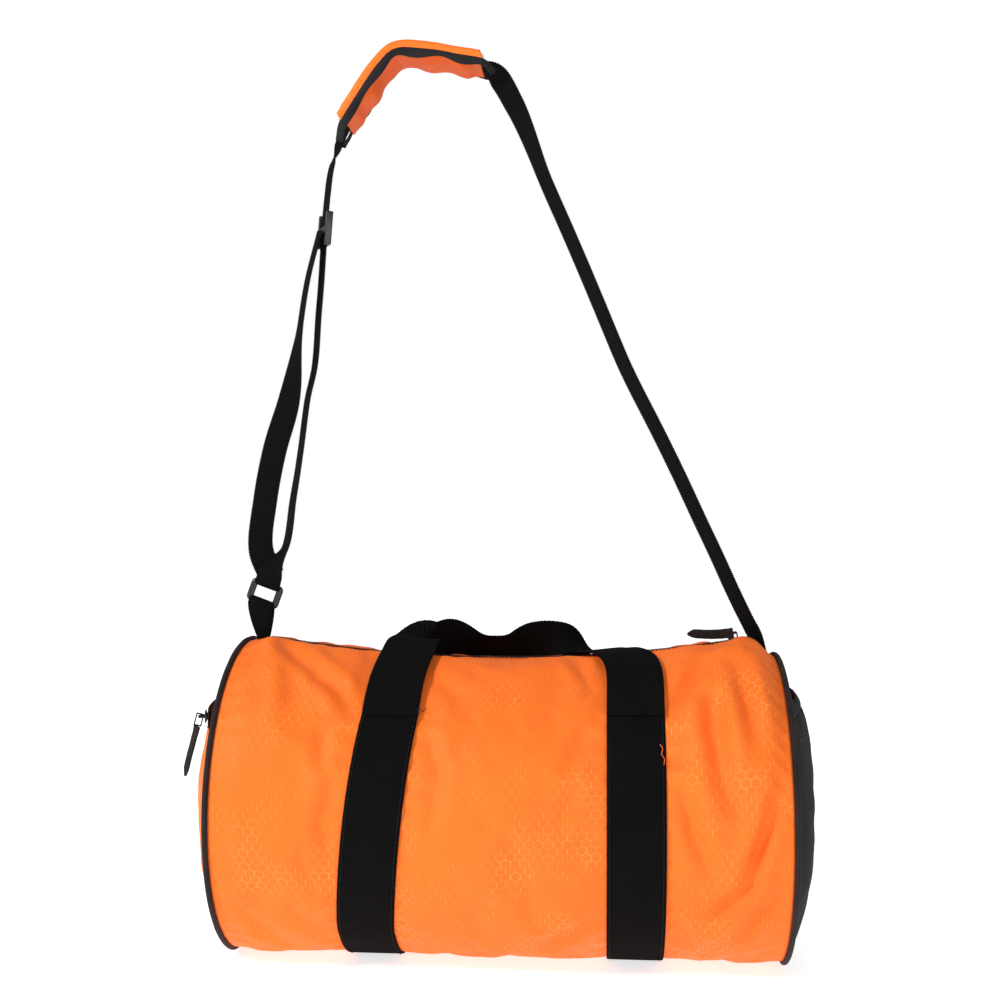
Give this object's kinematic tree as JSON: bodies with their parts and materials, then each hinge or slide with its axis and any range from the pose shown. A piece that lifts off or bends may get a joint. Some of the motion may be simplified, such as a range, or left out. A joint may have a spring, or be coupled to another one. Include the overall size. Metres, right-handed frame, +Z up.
{
  "type": "barrel duffel bag",
  "caption": "Soft barrel duffel bag with a top zip, carry handles, a zipped end pocket, a mesh end pocket and a padded adjustable shoulder strap",
  "frame": {"origin": "centre of the flat patch of base fabric that the bag stands on", "axes": "+Z up, +X along the barrel towards the mesh pocket end, +Y towards the back, away from the side with the front handle"},
  "size_m": [0.5661, 0.311, 0.852],
  "materials": {
    "orange_nylon": "orange honeycomb ripstop nylon, soft sheen",
    "orange_lining": "orange plain nylon, matt",
    "black_webbing": "black ribbed polypropylene webbing",
    "black_tape": "black woven zip and seam tape",
    "black_piping": "black brown covered piping cord",
    "black_nylon": "black moulded nylon",
    "black_metal": "black enamelled zinc",
    "black_mesh": "black open polyester mesh",
    "foam": "off-white soft foam"
  },
  "bodies": {
    "bag": {"main_panel": "orange_nylon", "left_end_panel": "orange_nylon", "right_end_panel": "orange_nylon", "left_piping": "black_piping", "right_piping": "black_piping", "left_seam_tape": "black_tape", "right_seam_tape": "black_tape", "zip_tape_front": "black_tape", "zip_tape_rear": "black_tape", "zip_coil_front": "black_nylon", "zip_coil_rear": "black_nylon", "left_band": "black_webbing", "right_band": "black_webbing", "end_pocket_panel": "orange_nylon", "pocket_tape_lower": "black_tape", "pocket_tape_upper": "black_tape", "pocket_coil_lower": "black_nylon", "pocket_coil_upper": "black_nylon", "mesh_pocket": "black_mesh", "mesh_pocket_elastic": "black_webbing"},
    "zip_runner": {"zip_slider": "black_metal"},
    "zip_pull": {"zip_pull_link": "black_metal", "zip_pull_tab": "black_webbing"},
    "pocket_runner": {"pocket_slider": "black_metal"},
    "pocket_pull": {"pocket_pull_link": "black_metal", "pocket_pull_tab": "black_webbing"},
    "handle_front": {"front_handle": "black_webbing"},
    "handle_rear": {"rear_handle": "black_webbing"},
    "strap": {"ring_tab": "black_webbing", "strap_ring": "black_nylon", "strap_webbing": "black_webbing", "strap_return": "black_webbing", "pad_foam": "foam", "pad_top_cover": "orange_nylon", "pad_under_cover": "orange_lining", "pad_binding_front": "black_webbing", "pad_binding_rear": "black_webbing"},
    "adjuster": {"strap_adjuster": "black_nylon"}
  },
  "joints": [
    {"name": "main_zip_travel", "type": "hinge", "parent": "bag", "child": "zip_runner", "pos_m": [-0.009, 0, 1.629], "axis": [0, 1, 0], "range_deg": [0, 17.5]},
    {"name": "zip_pull_flip", "type": "hinge", "parent": "zip_runner", "child": "zip_pull", "pos_m": [0.21158, 0, 0.28963], "axis": [0, 1, 0], "range_deg": [0, 60]},
    {"name": "pocket_zip_travel", "type": "hinge", "parent": "bag", "child": "pocket_runner", "pos_m": [0.127, 0, 0.221], "axis": [0, 0, 1], "range_deg": [-22.8, 0]},
    {"name": "pocket_pull_flip", "type": "hinge", "parent": "pocket_runner", "child": "pocket_pull", "pos_m": [-0.27462, -0.08098, 0.221], "axis": [-0.1977, 0.9803, 0], "range_deg": [0, 100]},
    {"name": "front_handle_swing", "type": "hinge", "parent": "bag", "child": "handle_front", "pos_m": [0, -0.1016, 0.2359], "axis": [0.9999, 0, 0.0126], "range_deg": [0, 120]},
    {"name": "rear_handle_swing", "type": "hinge", "parent": "bag", "child": "handle_rear", "pos_m": [0, 0.1072, 0.2337], "axis": [0.9999, 0, 0.0126], "range_deg": [0, 150]},
    {"name": "strap_swing", "type": "hinge", "parent": "bag", "child": "strap", "pos_m": [0, 0, 0.292], "axis": [1, 0, 0], "range_deg": [-80, 80]},
    {"name": "adjuster_slide", "type": "slide", "parent": "strap", "child": "adjuster", "axis": [-0.0765, 0, -0.9971], "range_m": [0, 0.085], "deforming": ["strap_return"]}
  ]
}
